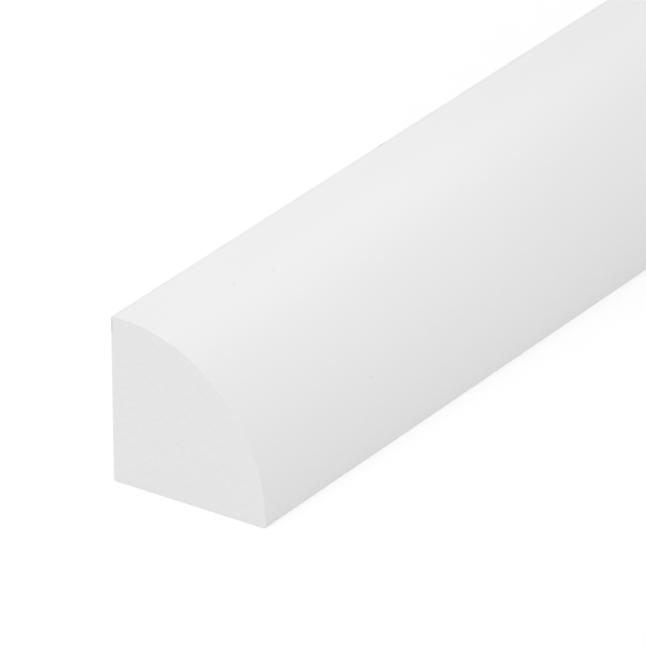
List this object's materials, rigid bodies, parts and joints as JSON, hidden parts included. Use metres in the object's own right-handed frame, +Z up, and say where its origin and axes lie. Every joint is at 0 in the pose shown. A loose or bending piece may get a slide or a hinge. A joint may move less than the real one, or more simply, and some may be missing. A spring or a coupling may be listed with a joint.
{
  "type": "quarter round moulding",
  "caption": "Straight stick of white extruded quarter round moulding: two flat faces at a right angle joined by a convex round, used to cover the joint between a floor and a wall.",
  "frame": {"origin": "middle of the underside: half way along the length and half way between the back and the front edge, on the floor", "axes": "+X along the stick's length, +Y out of the flat back face that goes against the wall, +Z up from the flat base, so the round faces -Y and +Z"},
  "size_m": [2.4384, 0.019, 0.0191],
  "materials": {
    "white_pvc": "satin"
  },
  "bodies": {
    "root": {"quarter_round": "white_pvc"}
  },
  "joints": []
}
